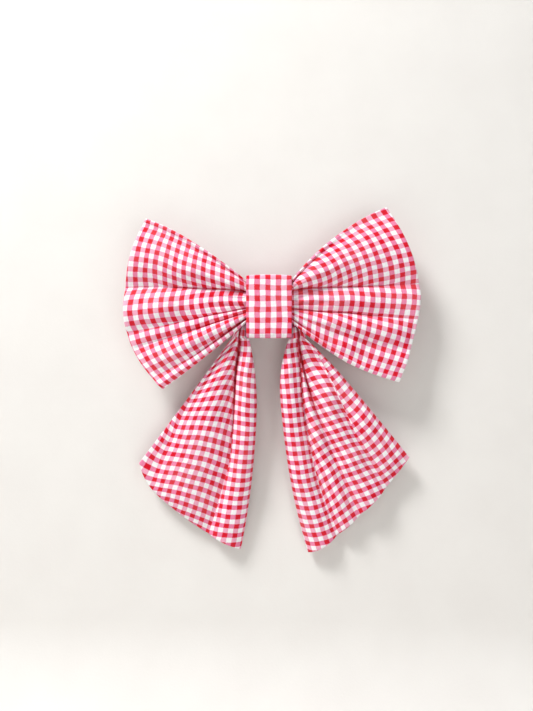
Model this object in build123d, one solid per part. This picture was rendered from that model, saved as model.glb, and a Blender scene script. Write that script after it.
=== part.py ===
"""Gingham hair bow on a French barrette, in millimetres.

The bow stands upright as it is worn: +Z is up, the front faces -Y, the wearer's head is on the +Y side
and X runs along the barrette. The origin is the middle of the barrette's mouth, where the hair goes.
Each sub-part is one STEP file in parts/.
"""

import os
from math import sqrt

from build123d import *

# ---------------------------------------------------------------- driving dimensions

REACH = 400                      # longer than anything here, for cutting shapes

# depth of the layers along Y, front to back
WRAP_FRONT_Y = -17.7
WRAP_BACK_Y = -3.45
WRAP_THICK = 1.1                 # two turns of folded cloth
WING_CORE_Y = (-16.3, -11.1)
TAIL_CORE_Y = (-10.7, -7.1)
TAIL_FOLD_Y = (-10.5, -7.2)
PLATE_FRONT_Y = -6.2             # at the plate's apex
MOUTH_HALF = 2.45                # half of the mouth that holds the hair

# centre wrap
WRAP_HALF_WIDTH = 13.4
WRAP_HALF_HEIGHT = 18.6
WRAP_CORNER = 2.6
WRAP_EDGE_ROUND = 0.5

# wings: flaps that turn about a line near the wrap's side
WING_HINGE_X = 14.5
WING_HINGE_Y = -13.9
WING_ROOT_RADIUS = 1.9
WING_TIP_X = 96.0
WING_TIP_Y = -8.4
WING_TIP_THICK = 2.4
WING_ROOT_Z = (-9.4, 15.0)
WING_CORE_ROUND = 1.6
WING_RIGHT_CORNERS = [(77.8, -45.0), (70.4, 59.6)]
WING_RIGHT_BOWS = [-4.2, -19.0, -4.6, 0]     # how far each side bows out, round from the lower root
WING_LEFT_CORNERS = [(-73.2, 52.8), (-63.2, -49.0)]
WING_LEFT_BOWS = [-3.2, -19.6, -1.2, 0]      # round from the upper root

# tails: flaps that turn about a line under the wrap
TAIL_HINGE_Y = -8.9
TAIL_HINGE_Z = -21.0
TAIL_ROOT_RADIUS = 1.9
TAIL_ROOT_X = (11.9, 22.2)
TAIL_TIP_Z = -156.0
TAIL_TIP_Y = 5.0
TAIL_TIP_THICK = 1.8
TAIL_RIGHT_CORNERS = [(24.4, -151.4), (86.0, -91.2)]
TAIL_RIGHT_BOWS = [-8.8, -9.5, -2.6, 0]      # round from the inner root
TAIL_LEFT_CORNERS = [(-79.4, -94.8), (-17.4, -149.2)]
TAIL_LEFT_BOWS = [2.2, -9.0, -6.5, 0]        # round from the outer root

# the tail strip's middle, and its folds beside the wrap
TAIL_CORE_TOP_Z = 9.0
TAIL_CORE_ROUND = 1.0
TAIL_FOLD_TOP = [(17.0, -8.8), (21.4, -12.4)]
TAIL_FOLD_INNER_Z = -8.6

# each flap is two panels with a stiffener between them, as shares of the flap's thickness
LAYERS = {"front_panel": (0.0, 0.42), "interfacing": (0.42, 0.58), "back_panel": (0.58, 1.0)}

BODY_GAP = 0.3                   # between pieces that move against each other
SEAT_GAP = 0.05                  # between pieces that only lie on each other

# barrette
PLATE_RADIUS = 160.0
PLATE_THICK = 0.8
PLATE_HALF_WIDTH = 4.75
PLATE_HALF_LENGTH = 41.0
GLUE_PAD_HALF_LENGTH = 9.0
GLUE_PAD_HALF_WIDTH = 4.0
BAR_THICK = 0.4
BAR_HALF_WIDTH = 3.0
BAR_HALF_LENGTH = 33.0
PIN_X = -38.0
PIN_Y = 5.0
PIN_RADIUS = 0.6
PIN_CLEARANCE = 0.05
PIN_HEAD_RADIUS = 1.0
PIN_HEAD_THICK = 0.4
LUG_THICK = 0.8
LUG_RADIUS = 1.9
BARREL_RADIUS = 1.4
ARM_THICK = 0.9
ARM_HALF_WIDTH = 3.6
ARM_END_HALF_WIDTH = 4.6
ARM_END_X = 41.4
ARM_WIDENING_X = (30.0, 33.0)    # where the arm widens towards its clasp end
ARM_CORNER = 1.5

# clasp: two prongs that stand through a window in the arm's end and hook over it
CLASP_X = 37.5
BRACKET_X = (34.4, 40.6)
BRACKET_HALF_WIDTH = 3.4
BRACKET_TOP_Y = 0.6
BRACKET_SEAT_GAP = 0.02
RIVET_RADIUS = 0.8
RIVET_HEAD_RADIUS = 1.3
RIVET_HEAD_THICK = 0.35
WINDOW_HALF_LENGTH = 2.1
WINDOW_HALF_WIDTH = 2.8
PRONG_HALF_LENGTH = 1.5
PRONG_THICK = 0.6
PRONG_TIP_Y = 8.0
HOOK_Y = 5.9
HOOK_REACH = 0.9
HOOK_SLOPE_END_Y = 7.5

# gathering thread and closing stitches
THREAD_WIDTH = 0.5
THREAD_TURNS = 4
THREAD_DEPTH = 0.55
WAIST_ROUND = 1.2
STITCH_COUNT = 9
STITCH_Z = 9.5
STITCH_LENGTH = 1.8
STITCH_RADIUS = 0.2
STITCH_MARGIN = 2.0              # from the wrap's edge to the first stitch

# local (distance out along the flap, depth) to the model's axes
RIGHT_PROFILE = Plane(origin=(0, 0, 0), x_dir=(1, 0, 0), z_dir=(0, 0, 1))
LEFT_PROFILE = Plane(origin=(0, 0, 0), x_dir=(-1, 0, 0), z_dir=(0, 0, -1))
DOWN_PROFILE = Plane(origin=(0, 0, 0), x_dir=(0, 0, -1), z_dir=(1, 0, 0))


# ---------------------------------------------------------------- helpers

def arc_outline(corners, bulges):
    """A closed face through corners; each side bows by its bulge, to the left of its run if positive."""
    sides = []
    for start, end, bulge in zip(corners, corners[1:] + corners[:1], bulges):
        if bulge:
            sides.append(SagittaArc(start, end, bulge))
        else:
            sides.append(Line(start, end))
    return make_face(Wire(sides))


def slab(face, plane):
    """The face, placed on a plane and extruded far to both sides of it."""
    return extrude(plane * face, amount=REACH, both=True)


def block(x, y, z):
    """A box between the given limits."""
    centre = ((x[0] + x[1]) / 2, (y[0] + y[1]) / 2, (z[0] + z[1]) / 2)
    return Pos(*centre) * Box(x[1] - x[0], y[1] - y[0], z[1] - z[0])


def z_cylinder(x, y, radius, half_height):
    """A cylinder along Z, centred on z = 0."""
    return Pos(x, y, 0) * Cylinder(radius, 2 * half_height)


def flap_profile(hinge, tip, root_radius, tip_thick):
    """The flap's side view: round about its hinge, tapering to its tip."""
    out, depth = hinge
    tip_out, tip_depth = tip
    half = tip_thick / 2
    front = Line((out, depth - root_radius), (tip_out, tip_depth - half))
    end = Line(front @ 1, (tip_out, tip_depth + half))
    back = Line(end @ 1, (out, depth + root_radius))
    root = ThreePointArc(back @ 1, (out - root_radius, depth), front @ 0)
    return make_face(Wire([front, end, back, root]))


def layer_profile(hinge, tip, root_radius, tip_thick, shares):
    """The strip of a flap's side view between two shares of its thickness."""
    overrun = root_radius + 1
    slope = (tip[1] - hinge[1]) / (tip[0] - hinge[0])
    taper = (tip_thick - 2 * root_radius) / (tip[0] - hinge[0])
    points = []
    for share, order in ((shares[0], 1), (shares[1], -1)):
        pair = []
        for run in (-overrun, tip[0] - hinge[0] + 1):
            thick = 2 * root_radius + taper * run
            pair.append((hinge[0] + run, hinge[1] + slope * run + thick * (share - 0.5)))
        points += pair[::order]
    return make_face(Polyline(*points, close=True))


def flap_layers(prefix, outline, plane, hinge, tip, root_radius, tip_thick):
    """The two panels and the stiffener of one wing or tail."""
    whole = slab(outline, Plane.XZ) & slab(flap_profile(hinge, tip, root_radius, tip_thick), plane)
    pieces = {}
    for name, shares in LAYERS.items():
        strip = slab(layer_profile(hinge, tip, root_radius, tip_thick, shares), plane)
        pieces[prefix + "_" + name] = whole & strip
    return pieces


def bent_strip(apex_y, radius, thick, x, half_width):
    """A strip of sheet metal bent to an arc about Z, its middle nearest the front at apex_y."""
    centre_y = apex_y + radius
    ring = z_cylinder(0, centre_y, radius, half_width) - z_cylinder(0, centre_y, radius - thick, REACH)
    return ring & block(x, (apex_y - 1, apex_y + 20), (-half_width, half_width))


def plate_back_y(x):
    """Depth of the base plate's back face."""
    inner = PLATE_RADIUS - PLATE_THICK
    return PLATE_FRONT_Y + PLATE_RADIUS - sqrt(inner ** 2 - x ** 2)


def mirrored(solid):
    """The same solid below z = 0."""
    return solid.mirror(Plane.XY)


# ---------------------------------------------------------------- the bow

def make_wings():
    """Two wide fans, the right one a little larger and set higher than the left."""
    low, high = WING_ROOT_Z
    root = WING_HINGE_X - WING_ROOT_RADIUS
    right = arc_outline([(root, low)] + WING_RIGHT_CORNERS + [(root, high)], WING_RIGHT_BOWS)
    left = arc_outline([(-root, high)] + WING_LEFT_CORNERS + [(-root, low)], WING_LEFT_BOWS)
    hinge = (WING_HINGE_X, WING_HINGE_Y)
    tip = (WING_TIP_X, WING_TIP_Y)
    flap = (hinge, tip, WING_ROOT_RADIUS, WING_TIP_THICK)
    pieces = flap_layers("wing_right", right, RIGHT_PROFILE, *flap)
    pieces.update(flap_layers("wing_left", left, LEFT_PROFILE, *flap))
    return pieces


def make_tails():
    """Two hanging flaps with slanted ends, longest at their inner edges."""
    inner, outer = TAIL_ROOT_X
    root = TAIL_HINGE_Z + TAIL_ROOT_RADIUS
    right = arc_outline([(inner, root)] + TAIL_RIGHT_CORNERS + [(outer, root)], TAIL_RIGHT_BOWS)
    left = arc_outline([(-outer, root)] + TAIL_LEFT_CORNERS + [(-inner, root)], TAIL_LEFT_BOWS)
    hinge = (-TAIL_HINGE_Z, TAIL_HINGE_Y)
    tip = (-TAIL_TIP_Z, TAIL_TIP_Y)
    flap = (hinge, tip, TAIL_ROOT_RADIUS, TAIL_TIP_THICK)
    pieces = flap_layers("tail_right", right, DOWN_PROFILE, *flap)
    pieces.update(flap_layers("tail_left", left, DOWN_PROFILE, *flap))
    return pieces


def make_gathered_centre():
    """The wings' gathered middle with a waist, and the thread wound in the waist."""
    half = WING_HINGE_X - WING_ROOT_RADIUS - BODY_GAP
    low, high = WING_ROOT_Z
    core = block((-half, half), WING_CORE_Y, (low, high))
    core = fillet(core.edges().filter_by(Axis.X), WING_CORE_ROUND)
    waist_half = THREAD_TURNS * THREAD_WIDTH / 2
    inner = block(
        (-waist_half, waist_half),
        (WING_CORE_Y[0] + THREAD_DEPTH, WING_CORE_Y[1] - THREAD_DEPTH),
        (low + THREAD_DEPTH, high - THREAD_DEPTH),
    )
    inner = fillet(inner.edges().filter_by(Axis.X), WAIST_ROUND)
    everywhere = (-REACH, REACH)
    groove = core & block((-waist_half, waist_half), everywhere, everywhere)
    groove -= inner
    turns = []
    for turn in range(THREAD_TURNS):
        start = -waist_half + turn * THREAD_WIDTH
        turns += (groove & block((start, start + THREAD_WIDTH), everywhere, everywhere)).solids()
    return {"wing_gathered_centre": core - groove, "gather_thread": Compound(turns)}


def make_tail_centre():
    """The tail strip's middle inside the wrap, and its folds at the wrap's sides."""
    half = WING_HINGE_X - WING_ROOT_RADIUS - BODY_GAP
    bottom = -WRAP_HALF_HEIGHT + WRAP_THICK + BODY_GAP
    core = block((-half, half), TAIL_CORE_Y, (bottom, TAIL_CORE_TOP_Z))
    core = fillet(core.edges().filter_by(Axis.X), TAIL_CORE_ROUND)
    below = TAIL_HINGE_Z + TAIL_ROOT_RADIUS + BODY_GAP
    outside = WRAP_HALF_WIDTH + BODY_GAP
    outline = make_face(Polyline(
        (half, bottom),
        (half, TAIL_FOLD_INNER_Z),
        *TAIL_FOLD_TOP,
        (TAIL_ROOT_X[1], below),
        (outside, below),
        (outside, bottom),
        close=True,
    ))
    depth = block((-REACH, REACH), TAIL_FOLD_Y, (-REACH, REACH))
    fold = slab(outline, Plane.XZ) & depth
    return {
        "tail_strip_centre": core,
        "tail_fold_right": fold,
        "tail_fold_left": fold.mirror(Plane.YZ),
    }


def make_wrap():
    """The centre wrap, a closed band round the gathers and the base plate, and its closing stitches."""
    depth = WRAP_BACK_Y - WRAP_FRONT_Y
    middle_y = (WRAP_BACK_Y + WRAP_FRONT_Y) / 2
    outer = Pos(middle_y, 0) * RectangleRounded(depth, 2 * WRAP_HALF_HEIGHT, WRAP_CORNER)
    inner = Pos(middle_y, 0) * RectangleRounded(
        depth - 2 * WRAP_THICK, 2 * (WRAP_HALF_HEIGHT - WRAP_THICK), WRAP_CORNER - WRAP_THICK)
    band = extrude(Plane.YZ * (outer - inner), amount=WRAP_HALF_WIDTH, both=True)
    rims = band.faces().sort_by(Axis.X)
    band = fillet(rims[0].outer_wire().edges() + rims[-1].outer_wire().edges(), WRAP_EDGE_ROUND)
    first = -WRAP_HALF_WIDTH + STITCH_MARGIN
    pitch = -2 * first / (STITCH_COUNT - 1)
    stitches = []
    for index in range(STITCH_COUNT):
        place = Pos(first + index * pitch, WRAP_BACK_Y + STITCH_RADIUS, STITCH_Z)
        stitches.append(place * Cylinder(STITCH_RADIUS, STITCH_LENGTH))
    return {"centre_wrap": band, "wrap_closing_stitches": Compound(stitches)}


# ---------------------------------------------------------------- the barrette

def make_base_plate():
    """The curved plate with two hinge lugs at one end and a rivet hole at the other."""
    plate = bent_strip(
        PLATE_FRONT_Y, PLATE_RADIUS, PLATE_THICK, (-PLATE_HALF_LENGTH, PLATE_HALF_LENGTH), PLATE_HALF_WIDTH)
    lug_side = slab(make_face(Polyline(
        (PIN_X - LUG_RADIUS, plate_back_y(PIN_X - LUG_RADIUS) - PLATE_THICK / 2),
        (PIN_X + LUG_RADIUS, plate_back_y(PIN_X + LUG_RADIUS) - PLATE_THICK / 2),
        (PIN_X + LUG_RADIUS, PIN_Y),
        (PIN_X - LUG_RADIUS, PIN_Y),
        close=True,
    )), Plane.XY)
    lug_side += z_cylinder(PIN_X, PIN_Y, LUG_RADIUS, REACH)
    lug_side -= z_cylinder(PIN_X, PIN_Y, PIN_RADIUS + PIN_CLEARANCE, REACH)
    for side in (-1, 1):
        faces = sorted((side * PLATE_HALF_WIDTH, side * (PLATE_HALF_WIDTH - LUG_THICK)))
        plate += lug_side & block((-REACH, REACH), (-REACH, REACH), faces)
    hole = Pos(CLASP_X, 0, 0) * Rot(90, 0, 0) * Cylinder(RIVET_RADIUS, REACH)
    return plate - hole


def make_glue_pad():
    """A pad of set glue between the tail strip and the base plate."""
    pad = block(
        (-GLUE_PAD_HALF_LENGTH, GLUE_PAD_HALF_LENGTH),
        (TAIL_CORE_Y[1] + SEAT_GAP, PLATE_FRONT_Y + PLATE_THICK),
        (-GLUE_PAD_HALF_WIDTH, GLUE_PAD_HALF_WIDTH),
    )
    return pad - z_cylinder(0, PLATE_FRONT_Y + PLATE_RADIUS, PLATE_RADIUS + SEAT_GAP, REACH)


def make_hinge_pin():
    """The pin that the arm turns on, with a peened head at each end."""
    half = PLATE_HALF_WIDTH + PIN_HEAD_THICK
    heads = z_cylinder(PIN_X, PIN_Y, PIN_HEAD_RADIUS, half)
    heads -= z_cylinder(PIN_X, PIN_Y, 2 * PIN_HEAD_RADIUS, PLATE_HALF_WIDTH)
    return z_cylinder(PIN_X, PIN_Y, PIN_RADIUS, half) + heads


def make_tension_bar():
    """The springy bar that presses the hair against the arm; its ends rest on the base plate."""
    apex = -MOUTH_HALF - BAR_THICK
    rise = plate_back_y(BAR_HALF_LENGTH) + SEAT_GAP - apex
    radius = (BAR_HALF_LENGTH ** 2 + rise ** 2) / (2 * rise)
    return bent_strip(apex, radius, BAR_THICK, (-BAR_HALF_LENGTH, BAR_HALF_LENGTH), BAR_HALF_WIDTH)


def arm_radius():
    """Radius of the arm's front face, so that the arm's middle line meets the pin."""
    rise = PIN_Y - (MOUTH_HALF + ARM_THICK / 2)
    return (PIN_X ** 2 + rise ** 2) / (2 * rise)


def make_arm():
    """The arm: a curled barrel on the pin, a bent strip, and a wider end with the clasp's window."""
    radius = arm_radius()
    strip = bent_strip(MOUTH_HALF, radius, ARM_THICK, (PIN_X, ARM_END_X), ARM_END_HALF_WIDTH)
    outline = make_face(Polyline(
        (PIN_X, -ARM_HALF_WIDTH),
        (ARM_WIDENING_X[0], -ARM_HALF_WIDTH),
        (ARM_WIDENING_X[1], -ARM_END_HALF_WIDTH),
        (ARM_END_X - ARM_CORNER, -ARM_END_HALF_WIDTH),
        (ARM_END_X, -ARM_END_HALF_WIDTH + ARM_CORNER),
        (ARM_END_X, ARM_END_HALF_WIDTH - ARM_CORNER),
        (ARM_END_X - ARM_CORNER, ARM_END_HALF_WIDTH),
        (ARM_WIDENING_X[1], ARM_END_HALF_WIDTH),
        (ARM_WIDENING_X[0], ARM_HALF_WIDTH),
        (PIN_X, ARM_HALF_WIDTH),
        close=True,
    ))
    arm = strip & slab(outline, Plane.XZ)
    arm += z_cylinder(PIN_X, PIN_Y, BARREL_RADIUS, ARM_HALF_WIDTH)
    arm -= z_cylinder(PIN_X, PIN_Y, PIN_RADIUS + PIN_CLEARANCE, REACH)
    window_x = (CLASP_X - WINDOW_HALF_LENGTH, CLASP_X + WINDOW_HALF_LENGTH)
    return arm - block(window_x, (-REACH, REACH), (-WINDOW_HALF_WIDTH, WINDOW_HALF_WIDTH))


def make_clasp():
    """The bracket on the plate's end, its rivet, and the two hooked prongs."""
    inner_radius = PLATE_RADIUS - PLATE_THICK - BRACKET_SEAT_GAP
    bracket = block(BRACKET_X, (PLATE_FRONT_Y, BRACKET_TOP_Y), (-BRACKET_HALF_WIDTH, BRACKET_HALF_WIDTH))
    bracket &= z_cylinder(0, PLATE_FRONT_Y + PLATE_RADIUS, inner_radius, REACH)
    across = Pos(CLASP_X, 0, 0) * Rot(90, 0, 0)
    bracket -= across * Cylinder(RIVET_RADIUS, REACH)
    front_head_y = PLATE_FRONT_Y + (CLASP_X - RIVET_HEAD_RADIUS) ** 2 / (2 * PLATE_RADIUS)
    shank_length = BRACKET_TOP_Y - front_head_y
    shank = Pos(CLASP_X, BRACKET_TOP_Y - shank_length / 2, 0) * Rot(90, 0, 0)
    rivet = shank * Cylinder(RIVET_RADIUS, shank_length)
    head = Pos(CLASP_X, front_head_y - RIVET_HEAD_THICK / 2, 0) * Rot(90, 0, 0)
    rivet += head * Cylinder(RIVET_HEAD_RADIUS, RIVET_HEAD_THICK)
    outer_z = WINDOW_HALF_WIDTH - BODY_GAP
    side = Plane(origin=(0, 0, 0), x_dir=(0, 1, 0), z_dir=(1, 0, 0))
    pivot_y = BRACKET_TOP_Y + BODY_GAP + PRONG_THICK / 2
    outline = make_face(Polyline(
        (pivot_y, outer_z - PRONG_THICK),
        (pivot_y, outer_z),
        (HOOK_Y, outer_z),
        (HOOK_Y, outer_z + HOOK_REACH),
        (HOOK_SLOPE_END_Y, outer_z),
        (PRONG_TIP_Y, outer_z),
        (PRONG_TIP_Y, outer_z - PRONG_THICK),
        close=True,
    ))
    foot = Pos(pivot_y, outer_z - PRONG_THICK / 2) * Circle(PRONG_THICK / 2)
    prong = Pos(CLASP_X, 0, 0) * extrude(side * (outline + foot), amount=PRONG_HALF_LENGTH, both=True)
    return {
        "clasp_bracket": bracket,
        "clasp_rivet": rivet,
        "clasp_prong_upper": prong,
        "clasp_prong_lower": mirrored(prong),
    }


# ---------------------------------------------------------------- write the sub-parts

def main():
    """Make every sub-part and write one STEP file for each."""
    parts = {}
    parts.update(make_wings())
    parts.update(make_tails())
    parts.update(make_gathered_centre())
    parts.update(make_tail_centre())
    parts.update(make_wrap())
    parts["glue_pad"] = make_glue_pad()
    parts["barrette_base_plate"] = make_base_plate()
    parts["barrette_hinge_pin"] = make_hinge_pin()
    parts["barrette_tension_bar"] = make_tension_bar()
    parts["barrette_arm"] = make_arm()
    parts.update(make_clasp())
    os.makedirs("parts", exist_ok=True)
    for name, solid in parts.items():
        export_step(solid, "parts/" + name + ".step")


main()
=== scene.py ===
"""Visual model of a hand-sewn gingham hair bow on a French barrette.

Lengths are in millimetres until a mesh is made, and metres from there on. X runs along the barrette,
the front faces -Y and +Z is up. A fan is a wing or a tail: its stations run from the root (0) to the
tip (1), and its columns from one long side (0) to the other (1). Cloth coordinates count the woven
repeats of the gingham, with a red stripe centred on every whole number.
"""

import bpy
import numpy as np
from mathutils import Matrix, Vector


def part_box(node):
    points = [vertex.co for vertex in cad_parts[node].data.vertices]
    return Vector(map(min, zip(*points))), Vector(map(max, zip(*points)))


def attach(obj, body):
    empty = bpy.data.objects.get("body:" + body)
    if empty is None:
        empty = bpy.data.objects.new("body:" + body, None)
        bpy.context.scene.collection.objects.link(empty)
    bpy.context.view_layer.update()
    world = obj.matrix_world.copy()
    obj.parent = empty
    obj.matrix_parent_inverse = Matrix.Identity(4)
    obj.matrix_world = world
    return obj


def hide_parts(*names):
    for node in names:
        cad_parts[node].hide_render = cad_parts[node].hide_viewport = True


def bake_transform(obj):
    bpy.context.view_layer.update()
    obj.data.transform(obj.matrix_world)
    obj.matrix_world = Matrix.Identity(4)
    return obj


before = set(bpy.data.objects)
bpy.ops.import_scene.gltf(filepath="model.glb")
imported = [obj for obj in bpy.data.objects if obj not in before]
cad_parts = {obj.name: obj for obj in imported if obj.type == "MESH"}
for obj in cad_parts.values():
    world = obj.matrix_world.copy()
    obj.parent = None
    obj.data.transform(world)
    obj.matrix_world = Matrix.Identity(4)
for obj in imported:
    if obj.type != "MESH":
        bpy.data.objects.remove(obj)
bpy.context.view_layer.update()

MM = 0.001
REPEAT = 6.35  # one repeat of eighth-inch gingham
THREADS = 20  # threads in one repeat
CLOTH = 0.30  # thickness of one panel
EDGE = 1.3  # how far in from its edge a turned edge is rounded
HALF_EDGE = 0.55  # half the thickness of a turned edge
TURN_STATIONS = 6  # stations on the rounding of the tip's edge
STIFFENER = 0.25  # thickness of the interfacing, and its distance from the front panel
PANEL_SHARE = 0.42  # how much of a narrow pocket a panel may fill
STIFFENER_FROM = 0.46  # where the interfacing lies in a narrow pocket, from front to back
STIFFENER_TO = 0.54
UV = "cloth"
TUCK = "tuck"  # how deep a fold's groove is, point by point, in millimetres; it also sets where painted shade darkens the cloth's colour
SLIT_WIDTH = 0.6  # half the width of that groove
EASE = 0.16  # the share of a fan over which its pleats reach full height
SIDE_CROWN = 0.62  # the power of a pleat's curve at a long side, and between two folds
MID_CROWN = 0.85
FOLLOW_FROM = 0.45  # where the back panel starts to lie along the front one
LEAST_GAP = 0.4  # the least gap between the two panels' pleats
PUCKER_SHIFT = {"front": 0.0, "back": 0.37}  # the two panels crumple differently
GATHER_HALF = 10.2  # half the length of the gathers inside the wrap
PLEAT_THICK = 0.5  # thickness of the cloth in them, and the width of the thread's waist
WAIST_WIDTH = 1.6
WRAP_THICK = 1.05  # the wrap is a folded band
WRAP_RIM = 0.42  # width of the rounding of its edges
WRAP_CORNER = 2.9  # radius of its turns over the top and the bottom
LAP_Z = 10.2  # height of the wrap's stitched lap, at the back
LAP_LENGTH = 12.0
LAP_STEP = 0.42
WRAP_SINK = 0.15  # how far the outside lies within the CAD wrap's
WRAP_ROW_Z = 4.3  # a red row of the wrap, and a red column
WRAP_COLUMN_X = -0.6

# ---------------- frame measures


def corners(node):
    """Lowest and highest corner of a CAD node, in millimetres."""
    low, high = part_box(node)
    return np.array(low) / MM, np.array(high) / MM


WRAP_LOW, WRAP_HIGH = corners("centre_wrap")
WING_CORE_LOW, WING_CORE_HIGH = corners("wing_gathered_centre")
TAIL_CORE_LOW, TAIL_CORE_HIGH = corners("tail_strip_centre")


# ---------------- small maths


def smooth(x):
    """0 below 0, 1 above 1, and a smooth step between."""
    x = np.clip(x, 0.0, 1.0)
    return x * x * (3 - 2 * x)


def profile(spec, r):
    """A value along the fan: (root, tip, power) fades as a power, {r: value} knots are followed."""
    if isinstance(spec, tuple):
        root, tip, power = spec
        return tip + (root - tip) * (1 - np.clip(r, 0, 1)) ** power
    at, values = list(spec), list(spec.values())
    spread = np.linspace(-0.06, 0.06, 9)
    return np.mean([np.interp(r + d, at, values) for d in spread], axis=0)


def bowed(a, b, bow, u):
    """Points at shares u from a to b. bow is how far the line bows to the left of its run, the share
    where it bows most, and a power: 2 for a round line, less for a pointed one, more for a flat one."""
    a, b = np.array(a, float), np.array(b, float)
    bulge, peak, power = bow
    run = b - a
    left = np.array([-run[1], run[0]]) / np.hypot(*run)
    off = np.abs(u - peak) / np.where(u < peak, peak, 1 - peak)
    return a + np.multiply.outer(u, run) + np.multiply.outer(bulge * (1 - off ** power), left)


STRAIGHT = (0.0, 0.5, 2.0)


def patch(outline, bulges, r, t):
    """Points of the fan's outline, filled in: outline is root low, root high, tip low, tip high."""
    root_low, root_high, tip_low, tip_high = (np.array(p, float) for p in outline)
    low_side = bowed(root_low, tip_low, bulges["low"], r)
    high_side = bowed(root_high, tip_high, bulges["high"], r)
    tip = bowed(tip_low, tip_high, bulges["tip"], t)
    root = bowed(root_low, root_high, STRAIGHT, t)
    r, t = np.asarray(r)[..., None], np.asarray(t)[..., None]
    sides = (1 - t) * low_side + t * high_side
    ends = (1 - r) * root + r * tip
    flat = (1 - r) * ((1 - t) * root_low + t * root_high) + r * ((1 - t) * tip_low + t * tip_high)
    return sides + ends - flat


# ---------------- the folded fan


def crown(s, power):
    """The height of one pleat across its width: 0 at both sides, 1 at its top."""
    return np.sin(np.pi * s) ** power


def crown_height(length, chord, rise, shape, s, most):
    """The height that gives a pleat of this chord the right length of cloth, station by station."""
    tallest, halvings = 40.0, 40
    low = np.zeros_like(chord)
    high = np.full_like(chord, tallest)
    for _ in range(halvings):
        mid = (low + high) / 2
        depth = rise[:, None] * s - mid[:, None] * shape
        steps = np.hypot(np.diff(depth, axis=1), np.diff(s) * chord[:, None])
        short = steps.sum(1) < length
        low = np.where(short, mid, low)
        high = np.where(short, high, mid)
    return np.minimum(low, most)


def row_knots(spec):
    """The {r: row} knots of a line of the fan; three bare rows are at its root, middle and tip."""
    return dict(zip((0, 0.5, 1), spec)) if isinstance(spec, tuple) else spec


def cloth_row(spec, r):
    """How far along the cloth a line of the fan has come, as a smooth curve through its knots."""
    at, rows = np.array(list(row_knots(spec).items())).T
    return np.polyval(np.polyfit(at, rows, len(at) - 1), r)


def fold_column(fold, r, widths):
    """The column that a fold follows: straight in space, or along its own knots."""
    if isinstance(fold["at"], dict):
        return profile(fold["at"], r)
    root, tip = fold["at"]
    w0, w1 = widths
    return (root * w0 * (1 - r) + tip * w1 * r) / (w0 * (1 - r) + w1 * r)


def marks_of(fan, side, r):
    """The lines that bound the pleats of one panel, at the stations r: both long sides and the folds."""
    root_low, root_high, tip_low, tip_high = fan["outline"]
    widths = np.hypot(*np.subtract(root_high, root_low)), np.hypot(*np.subtract(tip_high, tip_low))
    folds = fan[side]
    marks = []
    for index, fold in enumerate(folds):
        if index in (0, len(folds) - 1):
            mark = {"t": np.full_like(r, float(index > 0)), "depth": np.zeros_like(r)}
        else:
            mark = {"t": fold_column(fold, r, widths), "depth": profile(fold["depth"], r)}
        for way in ("down", "up"):
            if way in fold:
                mark[way] = profile(fold[way], r)
        mark.setdefault("up", mark.get("down"))
        mark["row_down"] = cloth_row(fold["row"], r)
        mark["row_up"] = cloth_row(fold.get("row_up", fold["row"]), r)
        marks.append(mark)
    return marks


def between(a, b, share):
    """Station by station, the values at these shares of the way from a to b."""
    return a[:, None] + (b - a)[:, None] * share


def pleat(fan, fold, below, above, s, power, r):
    """Columns, depths and cloth coordinates of the pleat between two marks, at shares s of its width."""
    low_side, high_side = (patch(fan["outline"], fan["bulges"], r, mark["t"]) for mark in (below, above))
    chord = np.hypot(*(high_side - low_side).T)
    length = (above["down"] - below["up"]) * REPEAT
    rise = above["depth"] - below["depth"]
    eased = smooth(r / EASE)
    most = fan["most"] * eased + fan["most_root"] * (1 - eased)
    shape = crown(s, power)
    high = crown_height(length, chord, rise, shape, s, most)
    depth = between(below["depth"], above["depth"], s) - high[:, None] * shape
    steps = np.hypot(np.diff(depth, axis=1), np.diff(s) * chord[:, None])
    run = np.concatenate([np.zeros((len(r), 1)), np.cumsum(steps, axis=1)], axis=1)
    run /= run[:, -1:]
    u = between(below["row_up"], above["row_down"], run) + 4 * fold.get("sag", 0.0) * run * (1 - run)
    v = between(below["up"], above["down"], run)
    return between(below["t"], above["t"], s), depth, np.stack([u, v], axis=-1)


def pleats(fan, side, r):
    """Columns, depths and cloth coordinates of one panel at the stations r, pleat by pleat."""
    folds, marks = fan[side], marks_of(fan, side, r)
    columns, depths, cloths, spans = [], [], [], []
    start = 0
    for index, fold in enumerate(folds[:-1]):
        first, last = index == 0, index == len(folds) - 2
        count = fold.get("columns", 24)
        s = np.linspace(0, 1, count + 1)
        if first:
            s = 1 - np.cos(s * np.pi / 2)
        if last:
            s = np.sin(s * np.pi / 2)
        power = SIDE_CROWN if first or last else MID_CROWN
        t, depth, cloth = pleat(fan, fold, marks[index], marks[index + 1], s, power, r)
        cloths.append(cloth)
        spans.append((start, start + count))
        keep = slice(0 if first else 1, None)
        columns.append(t[:, keep])
        depths.append(depth[:, keep])
        start += count
    return np.hstack(columns), np.hstack(depths), cloths, spans


def soften(depth, points, width):
    """Smooths each station's depths over a width in millimetres, and keeps both sides where they are
    by counting a mirror image of the row beyond each of them."""
    out = np.empty_like(depth)
    for i, row in enumerate(depth):
        step = np.hypot(*np.diff(points[i], axis=0).T)
        d = np.concatenate([[0], np.cumsum(step)])
        size = np.gradient(d)
        offsets = (d[:, None] - d, d[:, None] + d, d[:, None] + d - 2 * d[-1])
        own, low, high = (np.exp(-0.5 * (offset / width[i]) ** 2) for offset in offsets)
        out[i] = ((own - low - high) * size) @ row / ((own + low + high) @ size)
    return out


def stations(length, count):
    """Stations from root to tip, close together where the tip's edge is rounded."""
    edge = EDGE / length
    main = np.linspace(0, 1 - edge, count)
    turn = 1 - edge * (1 - np.sin(np.linspace(0, np.pi / 2, TURN_STATIONS + 1)[1:]))
    return np.concatenate([main, turn])


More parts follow.
